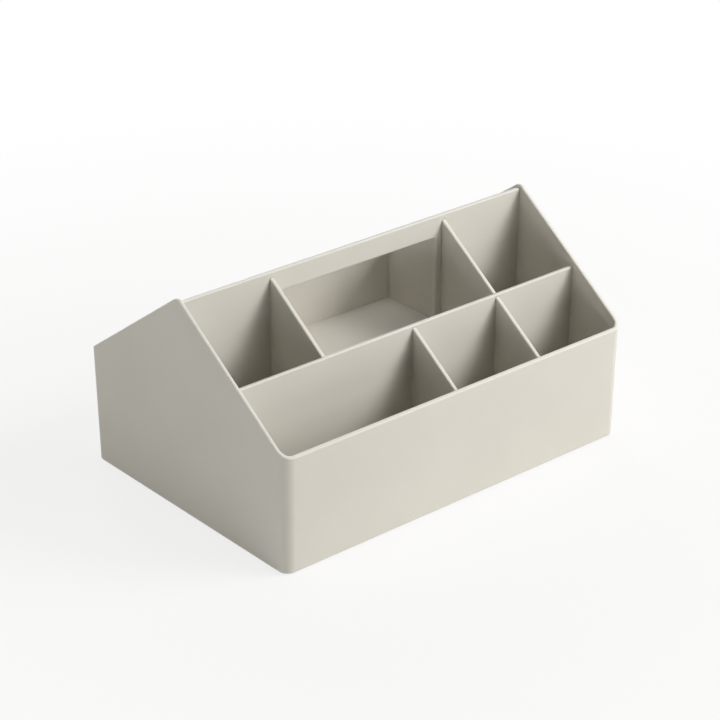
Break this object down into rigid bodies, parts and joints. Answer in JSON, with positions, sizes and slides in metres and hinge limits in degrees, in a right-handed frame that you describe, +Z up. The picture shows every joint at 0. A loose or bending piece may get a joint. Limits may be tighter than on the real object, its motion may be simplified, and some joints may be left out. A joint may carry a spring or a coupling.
{
  "type": "desk tool box",
  "caption": "House-shaped open desk tool box with a carrying bar along its ridge, sloping dividers that make open bays, and a raised tray under the grip.",
  "frame": {"origin": "on the desk, below the middle of the box", "axes": "+X along the carrying bar to the right, -Y towards the front, +Z up"},
  "size_m": [0.287, 0.2, 0.1494],
  "materials": {
    "shell_abs": "fine satin, warm light grey",
    "panel_abs": "fine satin, warm light grey",
    "foot_rubber": "matte, pale grey"
  },
  "bodies": {
    "root": {"outer_shell": "shell_abs", "handle_panel": "panel_abs", "raised_tray": "panel_abs", "long_divider_front": "panel_abs", "long_divider_back": "panel_abs", "deep_divider_front_left": "panel_abs", "deep_divider_front_right": "panel_abs", "deep_divider_back_left": "panel_abs", "deep_divider_back_right": "panel_abs", "low_divider_front_middle": "panel_abs", "low_divider_front_right": "panel_abs", "low_divider_back_middle": "panel_abs", "low_divider_back_left": "panel_abs", "foot_front_left": "foot_rubber", "foot_front_right": "foot_rubber", "foot_back_left": "foot_rubber", "foot_back_right": "foot_rubber"}
  },
  "joints": []
}
